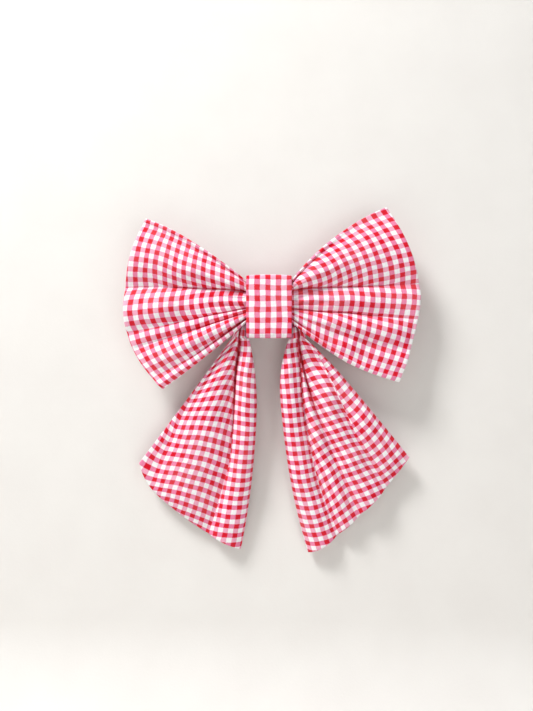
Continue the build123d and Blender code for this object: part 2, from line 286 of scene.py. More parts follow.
def puckers(fan, t, r, shift):
    """Small gathers that run out from the root and die away, and a few broad crumples, as depths.
    A gather is (count across, phase, size, reach), a crumple (length, slant, phase, size)."""
    r = r[:, None]
    along = r * fan["length"]
    wave = np.zeros_like(t)
    for count, phase, size, reach in fan["gathers"]:
        bend = 0.9 * np.sin(7.0 * r + 9.0 * phase + shift)
        turns = count * t + phase + shift
        wave += size * np.sin(2 * np.pi * turns + bend) * np.exp(-(r / reach) ** 2)
    for length, slant, phase, size in fan["crumples"]:
        turns = along / length + slant * t + phase + shift
        wave += size * np.sin(2 * np.pi * turns) * smooth((1 - r) / 0.3)
    return wave * np.sqrt(np.sin(np.pi * np.clip(t, 0, 1))) * smooth(0.3 + r / 0.08)


def steps_across(points, **ends):
    """The distances between neighbours along each station."""
    return np.hypot(*np.moveaxis(np.diff(points, axis=1, **ends), 2, 0))


def slits(fan, side, t, r, points):
    """The narrow grooves where one pleat tucks under the next, as depths."""
    width = steps_across(points).sum(1)
    total = np.zeros_like(t)
    for fold, mark in zip(fan[side], marks_of(fan, side, r)):
        if "slit" in fold:
            away = (t - mark["t"][:, None]) * width[:, None]
            total += profile(fold["slit"], r)[:, None] * np.exp(-(away / SLIT_WIDTH) ** 2)
    return total


def inset_from_sides(xz):
    """How far each point is from the nearer long side, along its station."""
    from_low = np.cumsum(steps_across(xz, prepend=xz[:, :1]), axis=1)
    from_high = np.cumsum(steps_across(xz, append=xz[:, -1:])[:, ::-1], axis=1)[:, ::-1]
    return np.minimum(from_low, from_high)


def rounded(inset):
    """The share of its full thickness that a turned edge has, this far in."""
    return np.sqrt(1 - (1 - np.clip(inset / EDGE, 0, 1)) ** 2)


def side_depths(fan, side, r):
    """Columns, depths, cloth coordinates and folds of one panel, before it is given its thickness."""
    t, depth, cloths, spans = pleats(fan, side, r)
    xz = patch(fan["outline"], fan["bulges"], r[:, None] + 0 * t, t)
    at_root, at_tip = fan["soft"]
    depth = soften(depth, xz, at_root + (at_tip - at_root) * r ** 1.2)
    tuck = slits(fan, side, t, r, xz)
    depth += puckers(fan, t, r, PUCKER_SHIFT[side]) + tuck
    return {"xz": xz, "t": t, "depth": depth, "cloths": cloths, "spans": spans, "tuck": tuck}


def lay_back_panel(front, back, r):
    """Mirrors the back panel's pleats near the root, and lays it along the front one further out."""
    follow = smooth((r - FOLLOW_FROM) / 0.5)
    for i in range(len(r)):
        wave = np.interp(back["t"][i], front["t"][i], front["depth"][i])
        mixed = back["depth"][i] * -1 * (1 - follow[i]) + wave * follow[i]
        back["depth"][i] = np.maximum(mixed, wave + LEAST_GAP)


def fan_surfaces(fan):
    """Front and back surfaces of a fan, each as points, cloth coordinates and pleat spans."""
    r = stations(fan["length"], fan["stations"])
    made = {side: side_depths(fan, side, r) for side in ("front", "back")}
    lay_back_panel(made["front"], made["back"], r)
    tip_round = rounded(((1 - r) * fan["length"])[:, None])
    for surface, way in ((made["front"], -1), (made["back"], 1)):
        xz = surface["xz"]
        swell = fan["swell"] * np.sin(np.pi * np.clip(surface["t"], 0, 1))
        swell = swell * smooth((1 - r) / 0.5)[:, None] * smooth(r / 0.2)[:, None]
        lift = (HALF_EDGE + swell) * rounded(inset_from_sides(xz)) * tip_round
        y = fan["middle"](xz) + surface["depth"] + way * lift
        surface["points"] = np.stack([xz[..., 0], y, xz[..., 1]], axis=-1)
    return made


def with_root(fan, surface):
    """Adds the stations that run on from the root into the wrap."""
    points, t = surface["points"], surface["t"][0]
    first = points[0]
    middle = fan["middle"](first[:, [0, 2]])
    more, away = [], []
    for low, high, squeeze in fan["into"]:
        flat = np.outer(1 - t, low) + np.outer(t, high)
        depth = middle + (first[:, 1] - middle) * squeeze
        more.append(np.stack([flat[:, 0], depth, flat[:, 1]], axis=1))
        away.append(np.hypot(*(flat - first[:, [0, 2]]).T) / REPEAT)
    surface["points"] = np.concatenate([np.array(more), points])
    for key in ("t", "tuck"):
        surface[key] = np.concatenate([np.repeat(surface[key][:1], len(more), axis=0), surface[key]])
    longer = []
    for (start, end), cloth in zip(surface["spans"], surface["cloths"]):
        added = np.repeat(cloth[:1], len(more), axis=0)
        added[..., 0] -= np.array(away)[:, start:end + 1]
        longer.append(np.concatenate([added, cloth]))
    surface["cloths"] = longer


# ---------------- meshes


def add_object(name, data):
    """A new object in the scene, with its origin at the frame's."""
    made = bpy.data.objects.new(name, data)
    bpy.context.scene.collection.objects.link(made)
    return made


def add_mesh(name, vertices, faces, uvs, material):
    """A smooth mesh object from points in millimetres, with one cloth coordinate per face corner."""
    mesh = bpy.data.meshes.new(name)
    mesh.from_pydata((np.asarray(vertices) * MM).tolist(), [], faces)
    layer = mesh.uv_layers.new(name=UV)
    layer.data.foreach_set("uv", np.asarray(uvs, np.float32).ravel())
    mesh.polygons.foreach_set("use_smooth", np.ones(len(mesh.polygons), bool))
    mesh.materials.append(material)
    mesh.update()
    mesh.validate()
    return add_object(name, mesh)


def grid_faces(rows, columns, offset, flip):
    """The quads of a grid of points, and the grid places of their corners."""
    i, j = np.meshgrid(np.arange(rows - 1), np.arange(columns - 1), indexing="ij")
    i, j = i.ravel(), j.ravel()
    ring = [(i, j), (i + 1, j), (i + 1, j + 1), (i, j + 1)]
    if flip:
        ring = ring[::-1]
    quads = np.stack([offset + a * columns + b for a, b in ring], axis=1)
    return quads, i, j, ring


def closed_sheet(name, outer, inner, corner_value, flip, material):
    """A thin closed sheet between two grids of points. corner_value(row, column, face) gives a corner's
    cloth coordinates, where face is the column of its face. The hidden root rim reuses the first."""
    rows, columns = outer.shape[:2]
    top, i, j, ring = grid_faces(rows, columns, 0, flip)
    under, _, _, under_ring = grid_faces(rows, columns, rows * columns, not flip)
    edge = [(0, q, 0) for q in range(columns - 1)]
    edge += [(p, columns - 1, columns - 2) for p in range(rows - 1)]
    edge += [(rows - 1, q, q - 1) for q in range(columns - 1, 0, -1)]
    edge += [(p, 0, 0) for p in range(rows - 1, 0, -1)]
    a, b, face = np.array(edge).T
    c, d = np.roll(a, -1), np.roll(b, -1)
    near, far = a * columns + b, c * columns + d
    rim = np.stack([near, far, far + rows * columns, near + rows * columns], axis=1)
    near_value, far_value = corner_value(a, b, face), corner_value(c, d, face)
    rim_value = np.stack([near_value, far_value, far_value, near_value], axis=1)
    if flip:
        rim, rim_value = rim[:, ::-1], rim_value[:, ::-1]
    values = [np.stack([corner_value(a, b, j) for a, b in turn], axis=1) for turn in (ring, under_ring)]
    faces = np.concatenate([top, under, rim])
    uvs = np.concatenate(values + [rim_value])
    vertices = np.concatenate([outer.reshape(-1, 3), inner.reshape(-1, 3)])
    return add_mesh(name, vertices, faces.tolist(), uvs, material)


def depth_of_other(surface, other):
    """Depth of the other surface of the pocket, at this surface's points."""
    pairs = zip(surface["t"], other["t"], other["points"])
    return np.array([np.interp(t, at, points[:, 1]) for t, at, points in pairs])


def panel_mesh(name, surface, other, facing, material):
    """One panel of cloth as a thin closed sheet, between its own surface and the pocket's middle."""
    points = surface["points"]
    gap = depth_of_other(surface, other) - points[..., 1]
    inner = points.copy()
    inner[..., 1] += np.sign(gap) * np.minimum(CLOTH, PANEL_SHARE * np.abs(gap))
    low = np.concatenate([cloth[:, :-1] for cloth in surface["cloths"]], axis=1)
    high = np.concatenate([cloth[:, 1:] for cloth in surface["cloths"]], axis=1)

    def corner_value(a, b, face):
        return np.where((b == face)[:, None], low[a, face], high[a, face])

    made = closed_sheet(name, points, inner, corner_value, facing < 0, material)
    tuck = made.data.attributes.new(TUCK, "FLOAT", "POINT")
    tuck.data.foreach_set("value", np.tile(surface["tuck"].ravel(), 2).astype(np.float32))
    return made


def stiffener_mesh(name, front, back, fan, material):
    """The interfacing: a thin sheet that lies against the front panel, inside its edges."""
    from_tip, from_sides = 9, 5
    inside = (slice(len(fan["into"]) + 1, -from_tip, 2), slice(from_sides, -from_sides))
    points = front["points"]
    gap = depth_of_other(front, back) - points[..., 1]
    near, far = points.copy(), points.copy()
    near[..., 1] += np.minimum(CLOTH + STIFFENER, STIFFENER_FROM * gap)
    far[..., 1] += np.minimum(CLOTH + 2 * STIFFENER, STIFFENER_TO * gap)
    near, far = near[inside], far[inside]

    def corner_value(a, b, face):
        return near[a, b][:, [0, 2]] / REPEAT

    return closed_sheet(name, near, far, corner_value, fan["hand"] < 0, material)


# ---------------- the wings and tails

# The middle of a wing or a tail, halfway between its panels, as distance and depth.
WING_HINGE, WING_TIP = (14.5, -13.9), (96.0, -8.4)
TAIL_HINGE, TAIL_TIP = (21.0, -8.9), (156.0, 5.0)


def sloped(past_hinge, hinge, tip):
    """Depth at a distance past the hinge, on the straight line from the hinge to the tip."""
    return hinge[1] + past_hinge / (tip[0] - hinge[0]) * (tip[1] - hinge[1])


def wing_middle(xz):
    return sloped(np.abs(xz[..., 0]) - WING_HINGE[0], WING_HINGE, WING_TIP)


def tail_middle(xz):
    return sloped(np.maximum(-xz[..., 1] - TAIL_HINGE[0], 0), TAIL_HINGE, TAIL_TIP)


def even_folds(front, low, high, hidden, count):
    """Shallow folds spread evenly over a back panel, whose sides have the front panel's rows. low and
    high are its sides' columns at root and tip, hidden is the cloth that the folds take in there."""
    root = np.linspace(low[0], high[0], count + 2)
    tip = np.linspace(low[1], high[1], count + 2)
    low_rows, high_rows = row_knots(front[0]["row"]), row_knots(front[-1]["row"])
    knots = list(zip(low_rows, low_rows.values(), high_rows.values()))
    folds = []
    for index in range(count + 2):
        share = index / (count + 1)
        take = hidden / 2 if 0 < index <= count else 0.0
        folds.append({
            "at": (share, share), "depth": WEAK,
            "down": (root[index] - take, tip[index], 1.6),
            "up": (root[index] + take, tip[index], 1.6),
            "row": {r: u + (w - u) * share for r, u, w in knots},
        })
    return folds


WING_LOW_Z, WING_HIGH_Z = WING_CORE_LOW[2], WING_CORE_HIGH[2]
WING_ROOT_X = 13.0
TAIL_ROOT_Z = -19.1

# How far a fold line lies behind the fan's sides, and how deep the groove in it is, along the fan.
DEEP = {0: 1.4, 0.08: 2.3, 0.25: 2.6, 0.5: 2.1, 0.8: 0.9, 1: 0.0}
STRONG = {0: 1.4, 0.06: 2.7, 0.3: 2.6, 0.6: 1.5, 1: 0.6}
WEAK = (0.8, 0.0, 1.0)
WING_SLIT = {0: 1.2, 0.05: 1.7, 0.5: 1.3, 0.8: 0.6, 1: 0.2}
OUTER_SLIT = {0: 1.0, 0.25: 0.8, 0.5: 0.0}
TAIL_SLIT = {0: 2.2, 0.04: 3.6, 0.22: 3.0, 0.4: 1.2, 0.7: 0.4, 1: 0.0}

# What both wings or both tails share. soft is the smoothing width at root and tip, most the greatest
# height of a pleat, and most_root that at the root. A cut is the flat width and length in metres, and
# the area.
WING = {
    "middle": wing_middle, "stations": 84, "soft": (0.26, 1.2), "most": 5.2, "most_root": 2.7, "swell": 0.6,
    "gathers": [(11, 0.13, 0.30, 0.42), (17, 0.61, 0.22, 0.30), (7, 0.37, 0.34, 0.55)],
    "crumples": [(31.0, 1.7, 0.2, 0.32), (19.0, -1.1, 0.7, 0.20)],
    "panel_cut": (0.120, 0.079, 0.0072), "interfacing_cut": (0.112, 0.070, 0.0060),
}
TAIL = {
    "middle": tail_middle, "stations": 96, "soft": (0.26, 1.1), "most": 4.8, "most_root": 1.0, "swell": 0.5,
    "gathers": [(7, 0.21, 0.28, 0.30), (12, 0.55, 0.18, 0.20), (5, 0.83, 0.32, 0.50)],
    "crumples": [(34.0, 1.3, 0.4, 0.32), (21.0, -0.9, 0.1, 0.21)],
    "panel_cut": (0.076, 0.135, 0.0080), "interfacing_cut": (0.068, 0.120, 0.0066),
}


def wing_into(hand):
    """The columns that carry a wing's root on into the wrap, from the middle outwards."""
    low, high = WING_LOW_Z + 0.2, WING_HIGH_Z - 0.2
    return [((hand * x, low), (hand * x, high), 0.95) for x in (10.6, 11.4, 12.2)]


LEFT_WING_FRONT = [
    dict(up=(-7.7, -8.5, 1.0), row=(-10.9, -5.25, 1.1), columns=12),
    dict(at=(0.095, 0.05), down=(-6.9, -7.1, 1.0), up=(-6.0, -7.1, 1.5), row=(-11.0, -5.25, 1.0),
         depth=WEAK, slit={0: 2.4, 0.3: 1.6, 0.6: 0.0}, columns=20),
    dict(at=(0.24, 0.25), down=(-4.6, -3.5, 1.5), up=(-3.0, -3.5, 1.5), row=(-11.2, -5.2, 0.8),
         depth={0: 1.0, 0.1: 1.7, 0.6: 1.4, 1: 0.0}, slit=WING_SLIT, columns=18),
    dict(at=(0.357, 0.34), down=(-2.6, -2.0, 2.5), up=(-0.5, -2.0, 1.0), row=(-11.3, -5.15, 0.9),
         sag=-0.3, depth={0: 1.0, 0.1: 1.8, 0.5: 1.2, 0.8: 0.1, 1: 0.0},
         slit={0: 1.2, 0.05: 1.7, 0.5: 1.0, 0.72: 0.0}, columns=34),
    dict(at={0: 0.738, 0.3: 0.655, 0.6: 0.625, 1: 0.608},
         down={0: 1.4, 0.27: 1.5, 0.5: 2.0, 0.7: 2.5, 1: 2.6},
         up={0: 6.1, 0.3: 4.9, 0.45: 4.4, 0.6: 3.9, 0.78: 3.2, 1: 3.1}, row=(-11.5, -5.3, 1.05),
         depth=DEEP, slit=WING_SLIT, columns=40),
    dict(at=(0.94, 0.975), down={0: 7.3, 0.3: 8.6, 0.6: 9.4, 1: 9.7}, row=(-11.6, -6.0, 0.5),
         depth=WEAK, slit=OUTER_SLIT, columns=12),
    dict(down={0: 7.7, 0.3: 9.2, 0.6: 10.2, 1: 10.7}, row=(-11.7, -6.1, 0.35)),
]
LEFT_WING = dict(
    WING, name="wing_left", hand=-1, length=74.0,
    outline=[(-WING_ROOT_X, WING_LOW_Z), (-WING_ROOT_X, WING_HIGH_Z), (-63.2, -49.0), (-73.2, 52.8)],
    bulges={"low": (0.7, 0.5, 2.0), "high": (-2.9, 0.6, 2.0), "tip": (18.7, 0.41, 2.0)},
    into=wing_into(-1),
    front=LEFT_WING_FRONT, back=even_folds(LEFT_WING_FRONT, (-7.7, -8.5), (7.7, 10.5), 1.4, 4),
)
RIGHT_WING_FRONT = [
    dict(up={0: -6.8, 0.3: -7.4, 0.5: -7.7, 1: -7.7}, row=(-12.1, -5.8, 0.8), columns=12),
    dict(at=(0.10, 0.04), down={0: -6.3, 0.3: -6.5, 0.5: -6.8, 1: -6.9},
         up={0: -5.6, 0.3: -6.3, 0.5: -6.8, 1: -6.9}, row=(-12.1, -5.85, 0.75), depth=WEAK,
         slit={0: 1.6, 0.4: 0.8, 0.7: 0.0}, columns=20),
    dict(at=(0.25, 0.18), down={0: -4.9, 0.35: -5.1, 0.65: -4.85, 1: -4.2},
         up={0: -4.4, 0.35: -5.1, 0.65: -4.85, 1: -4.2}, row=(-12.1, -5.85, 0.6), depth=WEAK,
         columns=22),
    dict(at={0: 0.346, 0.33: 0.362, 0.5: 0.378, 0.65: 0.365, 1: 0.35},
         down={0: -4.0, 0.2: -3.6, 0.33: -2.9, 0.5: -2.1, 0.8: -1.5, 1: -1.3},
         up={0: -0.5, 0.33: -0.95, 0.5: -1.05, 1: -1.05}, row=(-12.1, -5.9, 0.6), depth=DEEP,
         slit=WING_SLIT, columns=34),
    dict(at=(0.77, 0.55), down={0: 1.2, 0.33: 1.7, 0.66: 1.95, 1: 2.3},
         up={0: 6.3, 0.2: 5.8, 0.33: 5.2, 0.47: 4.2, 0.62: 3.5, 1: 2.6}, row=(-12.1, -6.0, 0.6),
         sag=-0.35, depth=DEEP, slit=WING_SLIT, columns=44),
    dict(at=(0.93, 0.97), down={0: 7.6, 0.17: 8.5, 0.35: 9.7, 0.6: 10.5, 1: 10.9},
         row=(-11.1, -5.4, 0.5), depth={0: 0.8, 0.5: 0.2, 1: 0.0}, slit=OUTER_SLIT, columns=12),
    dict(down={0: 8.3, 0.17: 9.1, 0.35: 10.3, 0.6: 11.0, 1: 11.4}, row=(-10.9, -5.25, 0.5)),
]
RIGHT_WING = dict(
    WING, name="wing_right", hand=1, length=78.0,
    outline=[(WING_ROOT_X, WING_LOW_Z), (WING_ROOT_X, WING_HIGH_Z), (77.8, -45.0), (70.4, 59.6)],
    bulges={"low": (-4.8, 0.55, 1.7), "high": (4.7, 0.5, 2.2), "tip": (-16.8, 0.5, 1.5)},
    into=wing_into(1),
    front=RIGHT_WING_FRONT, back=even_folds(RIGHT_WING_FRONT, (-6.8, -7.7), (8.3, 11.4), 1.4, 4),
)


def tail_into(hand):
    """The rows that carry a tail's root up beside the wrap, from the top down."""
    rows = [(-10.0, 13.8, 17.5), (-13.0, 13.8, 20.5), (-16.0, 13.75, 21.6)]
    rows += [(-18.4, 13.75, 22.1), (-18.85, 12.9, 22.2)]
    return [((hand * low, z), (hand * high, z), 0.9) for z, low, high in rows]


LEFT_TAIL_FRONT = [
    dict(up={0: 1.5, 0.08: 0.9, 0.16: -0.2, 0.6: -0.2, 1: 0},
         row={0: -21.4, 0.28: -15.6, 0.61: -8.0, 1: 0.6}, columns=22),
    dict(at={0: 0.52, 0.1: 0.48, 0.21: 0.44, 0.31: 0.37, 0.45: 0.30, 0.6: 0.25, 1: 0.26},
         down={0: 3.2, 0.17: 3.4, 0.31: 3.1, 0.65: 3.1, 0.9: 3.7, 1: 3.8},
         up={0: 8.2, 0.16: 6.7, 0.3: 5.0, 0.44: 4.1, 0.7: 3.7, 0.9: 3.8, 1: 3.9},
         row={0: -21.4, 0.31: -15.4, 0.65: -8.2, 1: -0.8},
         row_up={0: -20.4, 0.31: -14.3, 0.65: -8.0, 1: -0.8}, sag=0.8, depth=STRONG, slit=TAIL_SLIT,
         columns=44),
    dict(at={0: 0.97, 0.5: 0.95, 0.7: 0.90, 0.85: 0.86, 1: 0.81},
         down={0: 9.8, 0.3: 10.4, 0.5: 10.7, 0.68: 11.1, 1: 11.1},
         row={0: -21.4, 0.35: -15.9, 0.7: -9.8, 1: -4.0}, depth=WEAK, columns=16),
    dict(down={0: 10.2, 0.24: 10.7, 0.6: 11.3, 0.7: 12.3, 0.8: 12.6, 1: 12.6},
         row={0: -21.8, 0.45: -14.4, 0.7: -10.3, 1: -5.8}),
]
LEFT_TAIL = dict(
    TAIL, name="tail_left", hand=-1, length=118.0,
    outline=[(-11.9, TAIL_ROOT_Z), (-22.8, TAIL_ROOT_Z), (-17.4, -149.2), (-79.4, -94.8)],
    bulges={"low": (6.4, 0.36, 2.1), "high": (0.3, 0.5, 2.0), "tip": (8.4, 0.67, 2.5)}, into=tail_into(-1),
    front=LEFT_TAIL_FRONT, back=even_folds(LEFT_TAIL_FRONT, (1.5, 0.0), (10.2, 12.6), 1.0, 2),
)
RIGHT_TAIL_FRONT = [
    dict(up={0: 1.5, 0.1: 0.4, 0.2: -0.2, 0.6: -0.2, 1: -0.4},
         row={0: -22.7, 0.34: -15.0, 0.67: -7.4, 1: 0.2}, columns=22),
    dict(at={0: 0.49, 0.15: 0.44, 0.31: 0.32, 0.48: 0.265, 0.7: 0.24, 1: 0.24},
         down={0: 3.2, 0.5: 3.2, 0.7: 3.5, 1: 3.5},
         up={0: 6.0, 0.2: 6.8, 0.31: 7.0, 0.43: 6.0, 0.55: 4.8, 0.67: 4.0, 0.75: 3.7, 1: 3.5},
         row={0: -22.6, 0.31: -16.6, 0.67: -8.7, 1: -1.2},
         row_up={0: -21.6, 0.43: -13.0, 0.67: -8.3, 1: -1.2}, sag=0.2, depth=STRONG,
         slit={0: 1.0, 0.3: 0.8, 1: 0.2}, columns=26),
    dict(at={0: 0.54, 0.15: 0.49, 0.36: 0.46, 1: 0.46},
         down={0: 7.0, 0.2: 7.6, 0.31: 8.3, 0.36: 8.4, 0.67: 7.0, 1: 6.7},
         up={0: 10.4, 0.2: 9.6, 0.36: 8.4, 0.67: 7.0, 1: 6.7},
         row={0: -21.6, 0.36: -14.6, 0.67: -8.2, 1: -1.6}, sag=0.25,
         depth={0: 1.4, 0.06: 1.9, 0.35: 1.2, 0.6: -0.4, 1: -0.9}, slit=TAIL_SLIT, columns=26),
    dict(at={0: 0.97, 0.2: 0.865, 0.33: 0.815, 0.55: 0.76, 0.65: 0.74, 1: 0.735},
         down={0: 11.5, 0.33: 11.5, 0.55: 11.2, 1: 10.7},
         up={0: 13.8, 0.2: 13.0, 0.44: 12.3, 0.65: 11.0, 1: 10.7},
         row={0: -21.8, 0.33: -16.1, 0.65: -10.1, 1: -3.3},
         row_up={0: -21.0, 0.33: -15.5, 0.65: -10.0, 1: -3.3}, depth=WEAK, columns=22),
    dict(down=(14.3, 14.3, 1.0), row={0: -20.9, 0.4: -14.15, 0.7: -9.1, 1: -4.3}),
]
RIGHT_TAIL = dict(
    TAIL, name="tail_right", hand=1, length=118.0,
    outline=[(11.9, TAIL_ROOT_Z), (22.8, TAIL_ROOT_Z), (24.4, -151.4), (86.0, -91.2)],
    bulges={"low": (-8.5, 0.30, 2.3), "high": (1.6, 0.3, 1.5), "tip": (-4.8, 0.33, 2.8)}, into=tail_into(1),
    front=RIGHT_TAIL_FRONT, back=even_folds(RIGHT_TAIL_FRONT, (1.5, -0.4), (14.3, 14.3), 1.0, 2),
)


# ---------------- the wrap, the gathers and the thread


def rounded_path(low, high, radius, count):
    """Points, outward normals and lengths round a rounded rectangle in depth and height."""
    (y0, z0), (y1, z1) = low, high
    centres = [(y0 + radius, z1 - radius, 90), (y0 + radius, z0 + radius, 180),
               (y1 - radius, z0 + radius, 270), (y1 - radius, z1 - radius, 0)]
    along_side = np.linspace(0, 1, 26)[1:-1]
    arcs = []
    for y, z, start in centres:
        turn = np.radians(start + np.linspace(0, 90, count))
        way = np.stack([np.cos(turn), np.sin(turn)], axis=1)
        arcs.append((np.array([y, z]) + radius * way, way))
    points, normals = [], []
    for (arc, way), (following, _) in zip(arcs, arcs[1:] + arcs[:1]):
        side = arc[-1] + np.outer(along_side, following[0] - arc[-1])
        points += [arc, side]
        normals += [way, np.repeat(way[-1:], len(side), axis=0)]
    points, normals = np.concatenate(points), np.concatenate(normals)
    step = np.hypot(*(np.roll(points, -1, axis=0) - points).T)
    return points, normals, np.concatenate([[0], np.cumsum(step)])


def band_section(half):
    """Points round the band's cross-section: place across the band, and height over its path."""
    turn = np.linspace(0, np.pi, 9)[1:-1]
    wide = np.linspace(-1, 1, 45)
    flat, radius = half - WRAP_RIM, WRAP_THICK / 2
    section = [(w * flat, 0.0) for w in wide]
    section += [(flat + WRAP_RIM * np.sin(a), -radius + radius * np.cos(a)) for a in turn]
    section += [(-w * flat, -WRAP_THICK) for w in wide]
    section += [(-flat - WRAP_RIM * np.sin(a), -radius - radius * np.cos(a)) for a in turn]
    return np.array(section)


def run_at(z, path, run, wrong_side):
    """How far along the path its point at height z is, leaving out the points on the wrong side."""
    return run[np.argmin(np.abs(path[:, 1] - z) + 100 * wrong_side)]


def wrap_band(material):
    """The centre wrap: a folded band closed round the gathers, with its lap at the back."""
    y0, z0 = WRAP_LOW[1:]
    y1, z1 = WRAP_HIGH[1:]
    half = WRAP_HIGH[0]
    path, normals, run = rounded_path((y0, z0), (y1, z1), WRAP_CORNER, 12)
    section = band_section(half)
    share = section[:, 0] / half
    outside = section[:, 1] > -WRAP_THICK / 2
    lap_run = run_at(LAP_Z, path, run, path[:, 0] < y1 - 0.1)
    rows = []
    for (y, z), (ny, nz), s in zip(path, normals, run):
        front = smooth((y1 - 4 - y) / 6)  # 1 on the front, 0 at the back
        before = (lap_run - s) % run[-1]
        lap = LAP_STEP * (before < LAP_LENGTH) * smooth((LAP_LENGTH - before) / 6)
        swell = 0.35 * np.cos(np.pi * z / z1 / 2) * front
        ripple = 0.10 * np.sin(z * 1.3 + 0.7) + 0.07 * np.sin(z * 2.1 + 2.0)
        edge_drop = -0.30 * share ** 2 * front + ripple * np.abs(share) ** 4 * front
        height = section[:, 1] + edge_drop + (lap - WRAP_SINK) * outside
        x = section[:, 0] * (1 - 0.006 * front * (z / z1) ** 2)
        depth = y + ny * (height + swell * 0.5)
        rows.append(np.stack([x, depth, z + nz * (height + 0.2 * (1 - share ** 2))], axis=1))
    rows = np.array(rows)
    n, m = rows.shape[:2]
    i, j = (v.ravel() for v in np.meshgrid(np.arange(n), np.arange(m), indexing="ij"))
    ring = [(i, j), (i, j + 1), (i + 1, j + 1), (i + 1, j)]
    faces = np.stack([(a % n) * m + b % m for a, b in ring], axis=1)
    red_run = run_at(WRAP_ROW_Z, path, run, path[:, 0] > y0 + 0.1)
    columns = [(section[b % m, 0] - WRAP_COLUMN_X) / REPEAT for _, b in ring]
    lines = [(run[a] - red_run) / REPEAT for a, _ in ring]
    uvs = np.stack([np.stack(columns, axis=1), np.stack(lines, axis=1)], axis=-1)
    return add_mesh("centre_wrap_cloth", rows.reshape(-1, 3), faces.tolist(), uvs, material)


def zigzag(passes, low_z, pitch):
    """Turns of an accordion fold as (side, height, how far the turn bulges to that side)."""
    turn = np.linspace(-np.pi / 2, np.pi / 2, 7)
    line = []
    for k in range(passes):
        z = low_z + k * pitch
        way = 1.0 if k % 2 else -1.0
        line += [(way, z + pitch / 2 + pitch / 2 * np.sin(a), np.cos(a)) for a in turn]
    return np.array(line)


def pleated_core(name, low, high, passes, waist, material):
    """Cloth laid to and fro in accordion pleats between two corners, and pulled in at its middle."""
    half = min(high[0], GATHER_HALF)
    x = np.linspace(-half, half, 19)
    pitch = (high[2] - low[2] - PLEAT_THICK) / passes
    line = zigzag(passes, low[2] + PLEAT_THICK / 2, pitch)
    depth_half = (high[1] - low[1] - PLEAT_THICK) / 2
    middle = (high[1] + low[1]) / 2
    z_middle = (high[2] + low[2]) / 2
    outer, inner = [], []
    for value in x:
        pulled = waist * np.exp(-(value / WAIST_WIDTH) ** 2)
        y = middle + line[:, 0] * (depth_half - pitch / 2) * (1 - pulled)
        y = y + line[:, 0] * line[:, 2] * pitch / 2
        z = z_middle + (line[:, 1] - z_middle) * (1 - 0.25 * pulled)
        path = np.stack([y, z], axis=1)
        tangent = np.gradient(path, axis=0)
        tangent /= np.hypot(*tangent.T)[:, None]
        normal = np.stack([-tangent[:, 1], tangent[:, 0]], axis=1)
        for surface, way in ((outer, 1), (inner, -1)):
            skin = path + way * normal * PLEAT_THICK / 2
            surface.append(np.column_stack([np.full(len(y), value), skin]))
    outer, inner = np.array(outer), np.array(inner)
    step = np.hypot(*np.diff(outer[len(x) // 2][:, 1:], axis=0).T)
    length = np.concatenate([[0], np.cumsum(step)]) / REPEAT

    def corner_value(a, b, face):
        return np.stack([x[a] / REPEAT, length[b]], axis=-1)

    return closed_sheet(name, outer, inner, corner_value, True, material), length[-1] * REPEAT, 2 * half


def tube(name, lines, radius, material):
    """Round threads of one radius along lines of points, joined in one mesh with closed ends."""
    sides, end_taper = 8, 0.55
    turn = np.linspace(0, 2 * np.pi, sides, endpoint=False)
    vertices, faces, uvs = [], [], []
    for line in lines:
        tangent = np.gradient(line, axis=0)
        tangent /= np.linalg.norm(tangent, axis=1)[:, None]
        up = np.cross(tangent, [0.3, 1.0, 0.2])
        up /= np.linalg.norm(up, axis=1)[:, None]
        side = np.cross(tangent, up)
        start, last = len(vertices), len(line) - 1
        for k, centre in enumerate(line):
            reach = (end_taper if k in (0, last) else 1.0) * radius
            ring = np.outer(np.cos(turn), up[k]) + np.outer(np.sin(turn), side[k])
            vertices += (centre + reach * ring).tolist()
        vertices += [line[0].tolist(), line[last].tolist()]
        low_end, high_end = len(vertices) - 2, len(vertices) - 1
        around = [(q, (q + 1) % sides) for q in range(sides)]
        for k in range(last):
            ring_start = start + k * sides
            for q, following in around:
                a, b = ring_start + q, ring_start + following
                faces.append([a, b, b + sides, a + sides])
                uvs += [(q, k), (q + 1, k), (q + 1, k + 1), (q, k + 1)]
        last_start = start + last * sides
        faces += [[start + following, start + q, low_end] for q, following in around]
        faces += [[last_start + q, last_start + following, high_end] for q, following in around]
        uvs += 2 * [place for q in range(sides) for place in ((q, 0), (q + 1, 0), (q, 1))]
    return add_mesh(name, vertices, faces, np.array(uvs, np.float32) / sides, material)


# ---------------- materials


